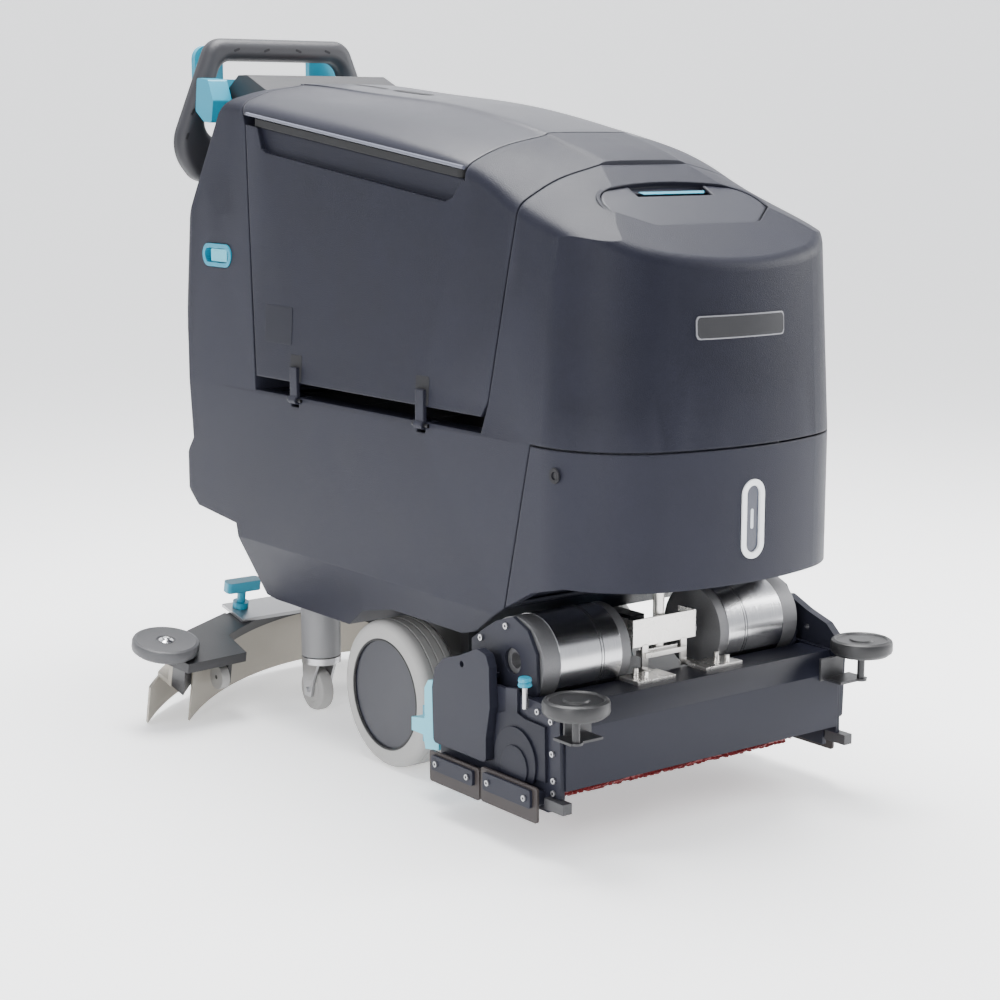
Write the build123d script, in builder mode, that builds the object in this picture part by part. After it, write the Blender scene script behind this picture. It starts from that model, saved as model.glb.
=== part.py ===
from build123d import *
import os
from math import cos, radians, sin, tan

os.makedirs("parts", exist_ok=True)

# Walk-behind floor scrubber dryer with a cylindrical brush deck.
# Millimetres. +X is forward, +Y the machine's left, +Z up.
# Origin: on the floor, midway between the drive wheels, under their axle.

# ---- driving dimensions -------------------------------------------------
wheel_r = 125.0            # drive wheel
wheel_width = 75.0
wheel_face_y = 238.0       # outer face of each drive wheel
axle_r = 10.0
running_gap = 0.05         # radial clearance of a turning fit
gap = 0.5                  # clearance between neighbouring pieces

body_half = 261.0          # half width of the moulded body
body_draft = 3.0           # inward lean of the walls above the hood seam, degrees
rear_x = -652.0            # the pillar's profile is cut from this
nose_x = 622.0
nose_corner_x = 551.0      # where the nose arc meets the side walls
nose_corner_r = 158.0
rear_corner_r = 48.0
wall = 5.0
seam = 3.0                 # groove between neighbouring mouldings
belly_z = 221.0
hood_seam_z = 599.0        # seam between hood and front cowl
tank_floor_z = 604.0       # lower edge of the recovery tank's side panels
step_z = 5.0               # the hood's top lies this much below the tank's arch

brush_r = 59.0
brush_len = 490.0
brush_z = 117.0
front_brush_x = 434.0
rear_brush_x = 314.0
motor_x, motor_z, motor_r = 392.0, 268.7, 68.0
motor_in_y, motor_out_y = 93.0, 262.0
deck_front_x, deck_rear_x = 536.0, 238.0
deck_half = 281.0          # inside faces of the deck's end plates
deck_bottom_z = 104.0
sheet = 4.0                # steel sheet of the deck
end_plate = 8.0

roller_r = 49.5            # front bumper discs
roller_x, roller_y, roller_top_z = 573.0, 293.0, 256.0
roller_thick = 26.0

caster_x, caster_y = -352.0, 140.0
caster_r, caster_width, caster_trail = 40.0, 30.0, 15.0
caster_tube_r = 36.0

squeegee_tilt = 12.0       # the squeegee rests raised by this angle
pivot_x, pivot_z = -450.0, 170.0
squeegee_arc_r = 600.0
blade_x = -628.0           # rearmost point of the blade's lower edge, lowered
blade_half = 436.0
blade_h = 70.0
disc_x, disc_y = -430.0, 414.0
disc_r, disc_thick = 60.0, 24.0

handle_x = -700.0
handle_tube = 42.0
handle_top_z, handle_wide_z, handle_low_z = 1220.0, 1015.0, 955.0


def save(name, part):
    """Label a finished piece and write its STEP file."""
    part.label = name
    export_step(part, f"parts/{name}.step")


# ---- master shape of the moulded body -----------------------------------
# Stations of the domed top: x, height on the centre line, height near the side.
crown_stations = [
    (-680, 1137, 1112), (-510, 1134, 1106), (-317, 1122, 1084), (-170, 1109, 1064),
    (-21, 1095, 1043), (115, 1074, 1022), (237, 1048, 1000), (309, 1028, 974),
    (370, 1006, 945), (431, 976, 926), (502, 942, 904), (573, 908, 874), (660, 866, 832),
]
hood_break_x, hood_break_z = 368.0, 1007.0
hood_slope = 0.5667
hood_edge_r = 24.0
crease_z = 330.0           # the side wall leans inward below this line
crease_in = 34.0


def side_width(z, inset=0.0):
    """Half width of the body's side wall at a height."""
    lean = max(0.0, z - hood_seam_z) * tan(radians(body_draft))
    return body_half - lean - inset


def plan_outline(inset):
    """Outline of the body seen from above, moved inward by inset."""
    with BuildSketch() as outline:
        with BuildLine():
            ThreePointArc((nose_corner_x, -body_half), (nose_x, 0), (nose_corner_x, body_half))
            Polyline((nose_corner_x, body_half), (rear_x, body_half),
                     (rear_x, -body_half), (nose_corner_x, -body_half))
        make_face()
        fillet(outline.vertices().group_by(Axis.X)[-1], nose_corner_r)
        fillet(outline.vertices().group_by(Axis.X)[0], rear_corner_r)
        if inset:
            offset(amount=-inset, mode=Mode.REPLACE)
    return outline.sketch


def crown_block(inset):
    """Block whose top is the domed roof line, from rear to nose."""
    with BuildPart() as crown:
        for x, mid_z, side_z in crown_stations:
            drop = mid_z - side_z
            edge = side_width(side_z, inset)
            foot = edge + 60
            top = mid_z - inset
            shoulder_z = side_z - 22 - inset
            with BuildSketch(Plane.YZ.offset(x)):
                with BuildLine():
                    Spline((-edge, shoulder_z), (-edge * 0.89, top - drop * 0.8),
                           (-edge * 0.67, top - drop * 0.4), (-edge * 0.36, top - drop * 0.09), (0, top),
                           tangents=[(-0.05, 1), (1, 0)])
                    Polyline((0, top), (0, 60), (-foot, 60), (-edge, shoulder_z))
                make_face()
        loft()
        mirror(about=Plane.XZ)
    return crown.part


def body_block(inset, with_hood=True):
    """The whole body's outer form, each face moved inward by inset."""
    lower = 60.0
    with BuildPart() as block:
        with BuildSketch(Plane.XY.offset(lower)):
            add(plan_outline(inset))
        extrude(amount=hood_seam_z - lower)
        with BuildSketch(Plane.XY.offset(hood_seam_z)):
            add(plan_outline(inset))
        extrude(amount=620, taper=body_draft)
        if with_hood:
            # cut along the sloping top of the hood, then round its rim
            low = hood_break_z - step_z - inset
            run = 400.0
            with BuildSketch(Plane.XZ):
                with BuildLine():
                    Polyline((hood_break_x - run, low + run * hood_slope),
                             (hood_break_x + run, low - run * hood_slope),
                             (hood_break_x + run, 1400), (hood_break_x - run, 1400), close=True)
                make_face()
            extrude(amount=400, both=True, mode=Mode.SUBTRACT)
            slope = block.faces().filter_by(
                lambda f: abs(f.normal_at().Z - cos(radians(29.54))) < 0.02)
            fillet(slope.edges().filter_by(lambda e: e.center().X > hood_break_x), hood_edge_r)
        with BuildSketch(Plane.YZ):
            with BuildLine():
                foot = body_half - crease_in - inset
                Polyline((-foot, belly_z - 6), (foot, belly_z - 6), (body_half + 8 - inset, crease_z + 26),
                         (body_half + 8 - inset, 1300), (-body_half - 8 + inset, 1300),
                         (-body_half - 8 + inset, crease_z + 26), close=True)
            make_face()
        extrude(amount=900, both=True, mode=Mode.INTERSECT)
        with BuildSketch(Plane.XZ):
            with BuildLine():
                Polyline((-358, belly_z), (-120, belly_z), (-62, 257), (37, 278), (233, 277),
                         (272, 288), (361, 343), (427, 378), (494, 395), (700, 395), (700, 1300),
                         (-481, 1300), (-481, 1113), (-517, 1080), (-578, 969), (-634, 865),
                         (-632, 799), (-607, 655), (-591, 491), (-615, 461), (-615, 395), (-579, 366),
                         (-441, 352), (-433, 322), (-389, 225), close=True)
            make_face()
            if inset:
                offset(amount=-inset, kind=Kind.INTERSECTION, mode=Mode.REPLACE)
        extrude(amount=500, both=True, mode=Mode.INTERSECT)
        add(crown_block(inset), mode=Mode.INTERSECT)
    return block.part


def xz_region(points, corner=None, corner_r=0.0, grow=0.0):
    """Side-view region of the body, through its whole width, grown by a margin."""
    with BuildPart() as region:
        with BuildSketch(Plane.XZ) as face:
            with BuildLine():
                Polyline(*points, close=True)
            make_face()
            if corner:
                near = face.vertices().sort_by_distance((corner[0], 0, corner[1]))[0:1]
                fillet(near, corner_r)
            if grow:
                offset(amount=grow, kind=Kind.INTERSECTION, mode=Mode.REPLACE)
        extrude(amount=400, both=True)
    return region.part


# ---- seams that split the body into its mouldings ------------------------
cowl_foot_x, cowl_foot_z = 362.0, 344.0
cowl_top_x = 423.0
cowl_corner = (cowl_top_x, hood_seam_z)
tank_panel_z = 626.0       # lower edge of the tank's side panels
tank_rear_x, tank_front_x = -361.0, 301.0
lid_rear_x, lid_front_x = -421.0, 235.0
lid_rear_z, lid_front_z = 1077.0, 993.5
lid_gap = 16.0             # space under the lid's edge, taken by its gasket


def cowl_region(grow):
    points = [(cowl_foot_x, 200), (cowl_foot_x, cowl_foot_z), cowl_corner,
              (760, hood_seam_z), (760, 200)]
    return xz_region(points, cowl_corner, 34, grow)


def tank_region(floor_z, grow):
    """Space of the recovery tank, open upward."""
    points = [(tank_rear_x, floor_z), (tank_front_x, floor_z), (tank_front_x + 16, 651), (342, 792),
              (hood_break_x - 1, 936), (hood_break_x, 1000), (hood_break_x, 1400), (-560, 1400),
              (-560, 1190), (-443, 1112), (lid_rear_x, 1057)]
    return xz_region(points, None, 0, grow)


def above_line(rise, front_gap=0.0):
    """Everything above the lid's lower edge, up to a gap behind the lid's front seam."""
    slope = (lid_front_z - lid_rear_z) / (lid_front_x - lid_rear_x)
    rear = lid_rear_z + slope * (-700 - lid_rear_x) + rise
    front = lid_front_z + rise
    end_x = lid_front_x - front_gap
    points = [(-700, rear), (end_x, front - slope * front_gap), (end_x, 1400), (-700, 1400)]
    return xz_region(points)


# ---- lower body: side walls, hood over the solution tank, rear pillar -----
outer_block = body_block(0)
inner_block = body_block(wall)
outer_roof = body_block(0, with_hood=False)
inner_roof = body_block(wall, with_hood=False)

hinge_y, hinge_z = -262.0, 598.0
hinge_pin_r, hinge_eye_r = 3.0, 7.0
hook_width = 22.0
hook_xs = (-230.0, 145.0)
shelf_z = tank_floor_z

latch_x, latch_z = -508.0, 830.0
latch_y = side_width(latch_z)
latch_len, latch_high = 110.0, 50.0

hood_angle = 29.54
hood_plane = Plane(origin=(hood_break_x, 0, hood_break_z - step_z),
                   x_dir=(cos(radians(hood_angle)), 0, -sin(radians(hood_angle))),
                   z_dir=(sin(radians(hood_angle)), 0, cos(radians(hood_angle))))
fill_rear, fill_front, fill_half = 53.0, 171.0, 156.0
fill_recess = 9.0


def fill_outline(grow):
    """Outline of the fill opening on the hood's slope: a bow with a straight front edge."""
    shoulder = fill_rear + 24
    widest = fill_front - 42
    with BuildSketch() as outline:
        with BuildLine():
            ThreePointArc((shoulder, -fill_half), (fill_rear, 0), (shoulder, fill_half))
            Polyline((shoulder, fill_half), (widest, fill_half), (fill_front, fill_half * 0.66),
                     (fill_front, -fill_half * 0.66), (widest, -fill_half), (shoulder, -fill_half))
        make_face()
        fillet(outline.vertices().group_by(Axis.X)[0], 50)
        fillet(outline.vertices().group_by(Axis.X)[-1], 24)
        if grow:
            offset(amount=grow, mode=Mode.REPLACE)
    return outline.sketch


light_z, light_w, light_h = 490.0, 52.0, 126.0
lever_x, lever_y, lever_z = -655.0, -195.0, 832.0
port_x, port_len = -620.0, 42.0
port_spots = ((90, 560, 22), (-90, 560, 22))

# hollow space, with closed walls left towards the tank and the cowl
body_cavity = inner_block - tank_region(shelf_z, seam / 2 + wall) - cowl_region(seam / 2 + wall)
bulkhead_x = 322.0         # closes the solution tank behind the hood
bulkhead = body_cavity & Pos(bulkhead_x, 0, 440) * Box(wall, 700, 400)

with BuildPart() as lower_body:
    add(outer_block)
    add(tank_region(shelf_z, seam / 2), mode=Mode.SUBTRACT)
    add(cowl_region(seam / 2), mode=Mode.SUBTRACT)
    add(body_cavity, mode=Mode.SUBTRACT)
    add(bulkhead)
    # battery opening in the shelf under the recovery tank
    with Locations((-22, 0, shelf_z)):
        Box(640, 2 * (body_half - 40), 40, mode=Mode.SUBTRACT)
    # pockets for the latches in the pillar
    for side in (-1, 1):
        with BuildSketch(Plane.XZ.offset(-side * (body_half + 10))):
            with Locations((latch_x, latch_z)):
                SlotOverall(latch_len - 8, latch_high - 8)
        extrude(amount=side * 60, mode=Mode.SUBTRACT)
    # fill opening with a ledge for its lid
    with BuildSketch(hood_plane.offset(-22)):
        add(fill_outline(6))
    extrude(amount=19)
    with BuildSketch(hood_plane.offset(-fill_recess)):
        add(fill_outline(0))
    extrude(amount=60, mode=Mode.SUBTRACT)
    with BuildSketch(hood_plane.offset(-60)):
        add(fill_outline(-14))
    extrude(amount=80, mode=Mode.SUBTRACT)
    # holes behind the hose ports
    for y, z, r in port_spots:
        with Locations(Location((port_x + 20, y, z), (0, 90, 0))):
            Cylinder(r + 2 * gap, 40, mode=Mode.SUBTRACT)
    # fork with a pin for the squeegee lever
    for ear in (-20.5, 20.5):
        with Locations((lever_x + 12, lever_y + ear, lever_z)):
            Box(30, 6, 22)
    with Locations(Location((lever_x, lever_y, lever_z), (90, 0, 0))):
        Cylinder(5, 46)
    # cheeks that hold the tank's hinge pins
    for x in hook_xs:
        with Locations((x, -body_half + 9, hinge_z - 3)):
            Box(hook_width + 26, 16, 17)
        with Locations((x, -body_half + 4, hinge_z + 3)):
            Box(hook_width + 2, 46, 30, mode=Mode.SUBTRACT)
        with Locations(Location((x, hinge_y, hinge_z), (0, 90, 0))):
            Cylinder(hinge_pin_r + running_gap, hook_width + 22, mode=Mode.SUBTRACT)
save("lower_body", lower_body.part)

# ---- recovery tank: side panels, arch and the basin inside ---------------
grip_corners = [(-381, 1056), (-365, 1020), (-351, 1013), (185, 945), (205, 952), (228, 983),
                (228, 1100), (-381, 1100)]
grip_floor_y = side_width(1000) - 11
grip_depth = body_half + 4 - grip_floor_y


def grip_block(side, grow, deep):
    """Finger grip under the lid's edge, cut into one side."""
    with BuildPart() as block:
        with BuildSketch(Plane.XZ.offset(-side * (body_half + 4))):
            with BuildLine():
                Polyline(*grip_corners, close=True)
            make_face()
            if grow:
                offset(amount=grow, kind=Kind.INTERSECTION, mode=Mode.REPLACE)
        extrude(amount=side * deep)
    return block.part


basin = inner_roof & tank_region(tank_panel_z, -seam / 2 - wall)
for side in (-1, 1):
    basin = basin - grip_block(side, wall, wall + grip_depth)

with BuildPart() as recovery_tank:
    add(outer_roof & tank_region(tank_panel_z, -seam / 2))
    add(above_line(-lid_gap), mode=Mode.SUBTRACT)
    add(basin, mode=Mode.SUBTRACT)
    for side in (-1, 1):
        add(grip_block(side, 0, grip_depth), mode=Mode.SUBTRACT)
    for x in hook_xs:
        with Locations((x, hinge_y + 1, (hinge_z + tank_panel_z) / 2 + 14)):
            Box(hook_width, 7, tank_panel_z - hinge_z + 28)
        with Locations(Location((x, hinge_y, hinge_z), (0, 90, 0))):
            Cylinder(hinge_eye_r, hook_width)
            Cylinder(hinge_pin_r + running_gap, hook_width + 2, mode=Mode.SUBTRACT)
save("recovery_tank", recovery_tank.part)

with BuildPart() as tank_hinge_pins:
    for x in hook_xs:
        with Locations(Location((x, hinge_y, hinge_z), (0, 90, 0))):
            Cylinder(hinge_pin_r, hook_width + 20)
save("tank_hinge_pins", tank_hinge_pins.part)

# ---- lid over the recovery tank ------------------------------------------
with BuildPart() as top_lid:
    add(outer_roof & tank_region(tank_panel_z, -seam / 2) & above_line(0, seam))
    add(inner_roof, mode=Mode.SUBTRACT)
save("top_lid", top_lid.part)

with BuildPart() as lid_gasket:
    gasket_mid_x = (lid_rear_x + lid_front_x) / 2
    gasket_mid_z = (lid_rear_z + lid_front_z) / 2 - lid_gap / 2
    gasket_plane = Plane(origin=(gasket_mid_x, 0, gasket_mid_z),
                         x_dir=(lid_front_x - lid_rear_x, 0, lid_front_z - lid_rear_z),
                         z_dir=(lid_rear_z - lid_front_z, 0, lid_front_x - lid_rear_x))
    with BuildSketch(gasket_plane.offset(-lid_gap / 2 + 1)):
        RectangleRounded(lid_front_x - lid_rear_x - 34, 2 * side_width(1000) - 14, 12)
        RectangleRounded(lid_front_x - lid_rear_x - 60, 2 * side_width(1000) - 40, 6, mode=Mode.SUBTRACT)
    extrude(amount=lid_gap - 3)
save("lid_gasket", lid_gasket.part)

# ---- fill lid on the hood -------------------------------------------------
lid_thick = 5.0
with BuildPart() as fill_lid:
    with BuildSketch(hood_plane.offset(-fill_recess + gap)):
        add(fill_outline(-2))
        # finger notch in its rear edge
        with Locations((fill_rear + 16, 0)):
            Rectangle(38, 150, mode=Mode.SUBTRACT)
    extrude(amount=lid_thick)
save("fill_lid", fill_lid.part)

# ---- front cowl with its light -------------------------------------------
screw_x, screw_z = 479.0, 561.0
cowl_lip = 16.0            # flange left around the cowl's open underside
with BuildPart() as cowl_opening:
    with BuildSketch(Plane.XY.offset(200)):
        add(plan_outline(cowl_lip))
        with Locations((0, 0)):
            Rectangle(2 * (cowl_foot_x + 8), 700, mode=Mode.SUBTRACT)
    extrude(amount=260)
cowl_shell = ((outer_block - inner_block) & cowl_region(-seam / 2)) - cowl_opening.part
with BuildPart() as front_cowl:
    add(cowl_shell)
    with BuildSketch(Plane.YZ.offset(nose_x - 40)):
        with Locations((0, light_z)):
            SlotOverall(light_h - 6, light_w - 6, rotation=90)
    extrude(amount=80, mode=Mode.SUBTRACT)
    for side in (-1, 1):
        with Locations(Location((screw_x, side * (body_half - 8), screw_z), (90, 0, 0))):
            Cylinder(5.2, 40, mode=Mode.SUBTRACT)
save("front_cowl", front_cowl.part)

with BuildPart() as front_light:
    with BuildSketch(Plane.YZ.offset(nose_x - 14)):
        with Locations((0, light_z)):
            SlotOverall(light_h - 7, light_w - 7, rotation=90)
    extrude(amount=15)
    with BuildSketch(Plane.YZ.offset(nose_x - 3)):
        with Locations((0, light_z)):
            SlotOverall(light_h - 26, light_w - 26, rotation=90)
    extrude(amount=8, mode=Mode.SUBTRACT)
save("front_light", front_light.part)

with BuildPart() as cover_screws:
    for side in (-1, 1):
        with Locations(Location((screw_x, side * (body_half - 11), screw_z), (90, 0, 0))):
            Cylinder(5, 18)
save("cover_screws", cover_screws.part)

# ---- latches in the pillar -------------------------------------------------
with BuildPart() as latch_bezels:
    for side in (-1, 1):
        with BuildSketch(Plane.XZ.offset(-side * (latch_y - 15))):
            with Locations((latch_x, latch_z)):
                SlotOverall(latch_len - 9, latch_high - 9)
        extrude(amount=-side * 17)
        with BuildSketch(Plane.XZ.offset(-side * (latch_y - 13))):
            with Locations((latch_x, latch_z)):
                SlotOverall(latch_len - 26, latch_high - 24)
        extrude(amount=-side * 30, mode=Mode.SUBTRACT)
save("latch_bezels", latch_bezels.part)

for side, hand in ((-1, "right"), (1, "left")):
    with BuildPart() as latch_button:
        with Locations((latch_x + 4, side * (latch_y - 4.5), latch_z)):
            Box(56, 7, latch_high - 27)
        fillet(latch_button.edges().filter_by(Axis.Y), 3)
    save(f"latch_button_{hand}", latch_button.part)

# ---- handle, console and controls ------------------------------------------
loop_half_low, loop_half_wide, loop_half_top = 188.0, 234.0, 150.0
with BuildPart() as handle_grip:
    with BuildSketch(Plane.YZ.offset(handle_x - handle_tube / 2)) as ring:
        with BuildLine():
            Polyline((-loop_half_low, handle_low_z), (loop_half_low, handle_low_z),
                     (loop_half_wide, handle_wide_z), (loop_half_top, handle_top_z),
                     (-loop_half_top, handle_top_z), (-loop_half_wide, handle_wide_z), close=True)
        make_face()
        fillet(ring.vertices().group_by(Axis.Y)[0] + ring.vertices().group_by(Axis.Y)[-1], 40)
        fillet(ring.vertices().group_by(Axis.Z)[-1], 75)
        fillet(ring.vertices().group_by(Axis.Z)[0], 45)
    extrude(amount=handle_tube)
    with BuildSketch(Plane.YZ.offset(handle_x - handle_tube / 2)) as opening:
        with BuildLine():
            Polyline((-loop_half_wide + 56, handle_wide_z + 20), (loop_half_wide - 56, handle_wide_z + 20),
                     (loop_half_top - 22, handle_top_z - handle_tube),
                     (-loop_half_top + 22, handle_top_z - handle_tube), close=True)
        make_face()
        fillet(opening.vertices(), 30)
    extrude(amount=handle_tube, mode=Mode.SUBTRACT)
    fillet(handle_grip.faces().filter_by(Axis.X).edges(), 17)
save("handle_grip", handle_grip.part)

console_half = 150.0
slant = (-590 + 640, 1150 - 1118)
console_plane = Plane(origin=(-615, 0, 1134), x_dir=(0, -1, 0), z_dir=(-slant[1], 0, slant[0]))
stop_across, stop_down = -86.0, -8.0
stop_r, stop_stem_r = 15.0, 9.0
console_rear_x = handle_x + handle_tube / 2 + gap
with BuildPart() as console_housing:
    with BuildSketch(Plane.XZ):
        with BuildLine():
            Polyline((-582, 962), (console_rear_x, 968), (console_rear_x, 1020), (-655, 1060), (-640, 1118),
                     (-590, 1150), (-560, 1150), (-488, 1120), (-521, 1080), close=True)
        make_face()
    extrude(amount=console_half, both=True)
    # hollow, open towards the pillar
    with BuildSketch(Plane.XZ):
        with BuildLine():
            Polyline((-560, 985), (-600, 985), (-668, 1022), (-648, 1062), (-634, 1112), (-588, 1144),
                     (-563, 1144), (-500, 1118), (-490, 1080), close=True)
        make_face()
    extrude(amount=console_half - 5, both=True, mode=Mode.SUBTRACT)
    # hole for the stop button's stem
    with BuildSketch(console_plane.offset(-20)):
        with Locations((stop_across, stop_down)):
            Circle(stop_stem_r + gap)
    extrude(amount=30, mode=Mode.SUBTRACT)
save("console_housing", console_housing.part)

with BuildPart() as console_display:
    with BuildSketch(console_plane.offset(gap)):
        with Locations((28, 0)):
            RectangleRounded(120, 46, 6)
    extrude(amount=4)
save("console_display", console_display.part)

with BuildPart() as stop_button:
    with BuildSketch(console_plane.offset(5)):
        with Locations((stop_across, stop_down)):
            Circle(stop_r)
    extrude(amount=9)
    with BuildSketch(console_plane.offset(0.5 + gap)):
        with Locations((stop_across, stop_down)):
            Circle(stop_stem_r)
    extrude(amount=4.5)
    fillet(stop_button.faces().sort_by(Axis.Z)[-1].edges(), 4)
save("stop_button", stop_button.part)

paddle_axis_x, paddle_axis_z = -640.0, 1100.0
with BuildPart() as drive_paddles:
    for side in (-1, 1):
        # wedge beside the console, inside the handle's loop
        with BuildSketch(Plane.XZ.offset(-side * (console_half + 6))) as wedge:
            with BuildLine():
                Polyline((-640, 1066), (-612, 1064), (-604, 1104), (-622, 1142), (-662, 1146), (-670, 1086),
                         close=True)
            make_face()
            fillet(wedge.vertices(), 6)
        extrude(amount=-side * 40)
        # arm through the loop to the finger wing behind it
        with Locations((-665, side * 140, 1133)):
            Box(11, 64, 22)
        with Locations((-705, side * 114, 1133)):
            Box(90, 12, 22)
        with BuildSketch(Plane.YZ.offset(-754)):
            with Locations((side * 126, 1164)):
                RectangleRounded(60, 88, 26)
        extrude(amount=14)
        with Locations(Location((paddle_axis_x, side * (console_half + 4), paddle_axis_z), (90, 0, 0))):
            Cylinder(5, 7)
save("drive_paddles", drive_paddles.part)

# ---- chassis frame ----------------------------------------------------------
rail_y, rail_w, rail_h = 80.0, 36.0, 42.0
rail_top = belly_z - 1.0
guide_x, guide_y, guide_r = 226.0, 48.0, 9.0
with BuildPart() as chassis_frame:
    for side in (-1, 1):
        with Locations((-180, side * rail_y, rail_top - rail_h / 2)):
            Box(460, rail_w, rail_h)
        # raised front run under the belly
        with Locations((165, side * 66, belly_z + 34)):
            Box(250, 30, 36)
        with Locations((52, side * 80, belly_z + 6)):
            Box(24, 60, 90)
        # plates for the casters
        with Locations((caster_x, side * caster_y, rail_top - 4)):
            Box(92, 92, 8)
        # lift guides, with the front cross-member that carries them
        with Locations((guide_x, side * guide_y, 190)):
            Cylinder(guide_r, 172)
    with Locations((guide_x, 0, belly_z + 36)):
        Box(46, 150, 32)
    with Locations((-396, 0, rail_top - rail_h / 2)):
        Box(40, 2 * rail_y, rail_h)
    with Locations((pivot_x + 28, 0, rail_top - 34)):
        Box(30, 40, 52)
    with Locations(Location((pivot_x, 0, pivot_z), (90, 0, 0))):
        Cylinder(6, 120)
    with Locations((pivot_x + 8, 0, pivot_z)):
        Box(28, 40, 20)
    # stub axles of the drive wheels
    with Locations(Location((0, 0, wheel_r), (90, 0, 0))):
        Cylinder(axle_r, 2 * (wheel_face_y - 16))
    for side in (-1, 1):
        with Locations((0, side * (rail_y + 4), 155)):
            Box(60, 14, 110)
    with Locations((14, 0, rail_top - 12)):
        Box(60, 2 * rail_y, 16)
save("chassis_frame", chassis_frame.part)

with BuildPart() as transaxle:
    with Locations(Location((0, 0, wheel_r), (90, 0, 0))):
        Cylinder(49, 150)
        Cylinder(axle_r + running_gap, 200, mode=Mode.SUBTRACT)
save("transaxle", transaxle.part)

with BuildPart() as battery_pack:
    for x in (-240, -36):
        for y in (-102, 102):
            with Locations((x, y, 445)):
                Box(200, 198, 296)
    fillet(battery_pack.edges().filter_by(Axis.Z), 6)
save("battery_pack", battery_pack.part)

with BuildPart() as solution_pump:
    with Locations(Location((235, 110, 342), (0, 90, 0))):
        Cylinder(30, 90)
    with Locations((235, 110, 305)):
        Box(70, 50, 20)
save("solution_pump", solution_pump.part)

with BuildPart() as vacuum_motor:
    with Locations((285, 0, 880)):
        Cylinder(42, 90)
    with Locations((285, 0, 832)):
        Cylinder(50, 8)
    with Locations((285, 0, 790)):
        Cylinder(30, 76)
save("vacuum_motor", vacuum_motor.part)

with BuildPart() as hose_ports:
    # squeegee hose inlet on the rear wall, and the drain beside it
    for y, z, r in port_spots:
        with Locations(Location((port_x, y, z), (0, 90, 0))):
            Cylinder(r, port_len)
            Cylinder(r - 4, 60, mode=Mode.SUBTRACT)
save("hose_ports", hose_ports.part)

# ---- drive wheels -----------------------------------------------------------
tyre_depth = 27.0
rim_r = wheel_r - tyre_depth
for side, hand in ((-1, "right"), (1, "left")):
    mid_y = side * (wheel_face_y - wheel_width / 2)
    with BuildPart() as drive_tyre:
        with Locations(Location((0, mid_y, wheel_r), (90, 0, 0))):
            Cylinder(wheel_r, wheel_width)
            Cylinder(rim_r, wheel_width + 2, mode=Mode.SUBTRACT)
        fillet(drive_tyre.edges().filter_by(GeomType.CIRCLE).group_by(SortBy.RADIUS)[-1], 9)
    save(f"drive_tyre_{hand}", drive_tyre.part)
    with BuildPart() as drive_hub:
        with Locations(Location((0, mid_y, wheel_r), (90, 0, 0))):
            Cylinder(rim_r, wheel_width - 8)
            Cylinder(axle_r + running_gap, wheel_width + 20, mode=Mode.SUBTRACT)
        # cover disc over the axle's end
        with Locations(Location((0, side * (wheel_face_y - 7), wheel_r), (90, 0, 0))):
            Cylinder(rim_r - 6, 8)
    save(f"drive_hub_{hand}", drive_hub.part)

# ---- casters ----------------------------------------------------------------
fork_top_z = 104.0
with BuildPart() as caster_housings:
    for side in (-1, 1):
        with Locations((caster_x, side * caster_y, (fork_top_z + 4 + rail_top - 8) / 2)):
            Cylinder(caster_tube_r, rail_top - 8 - fork_top_z - 4)
            Cylinder(9 + running_gap, 200, mode=Mode.SUBTRACT)
save("caster_housings", caster_housings.part)

for side, hand in ((-1, "right"), (1, "left")):
    y = side * caster_y
    wheel_x = caster_x - caster_trail
    with BuildPart() as caster_fork:
        with Locations((caster_x, y, fork_top_z - 4)):
            Cylinder(caster_tube_r, 12)
        with Locations((caster_x, y, fork_top_z + 20)):
            Cylinder(9, 60)
        for leg in (-1, 1):
            leg_y = y + leg * (caster_width / 2 + 4)
            with BuildSketch(Plane.XZ.offset(-leg_y - 2.5)):
                with BuildLine():
                    Polyline((caster_x + 24, fork_top_z - 2), (caster_x - 32, fork_top_z - 2),
                             (wheel_x - 15, caster_r + 12), (wheel_x - 10, caster_r - 12),
                             (wheel_x + 10, caster_r - 12), (caster_x + 6, caster_r + 26), close=True)
                make_face()
            extrude(amount=5)
        with Locations(Location((wheel_x, y, caster_r), (90, 0, 0))):
            Cylinder(5, caster_width + 22)
    save(f"caster_fork_{hand}", caster_fork.part)
    with BuildPart() as caster_wheel:
        with Locations(Location((wheel_x, y, caster_r), (90, 0, 0))):
            Cylinder(caster_r, caster_width)
            Cylinder(5 + running_gap, caster_width + 2, mode=Mode.SUBTRACT)
        fillet(caster_wheel.edges().filter_by(GeomType.CIRCLE).group_by(SortBy.RADIUS)[-1], 10)
    save(f"caster_wheel_{hand}", caster_wheel.part)

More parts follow.
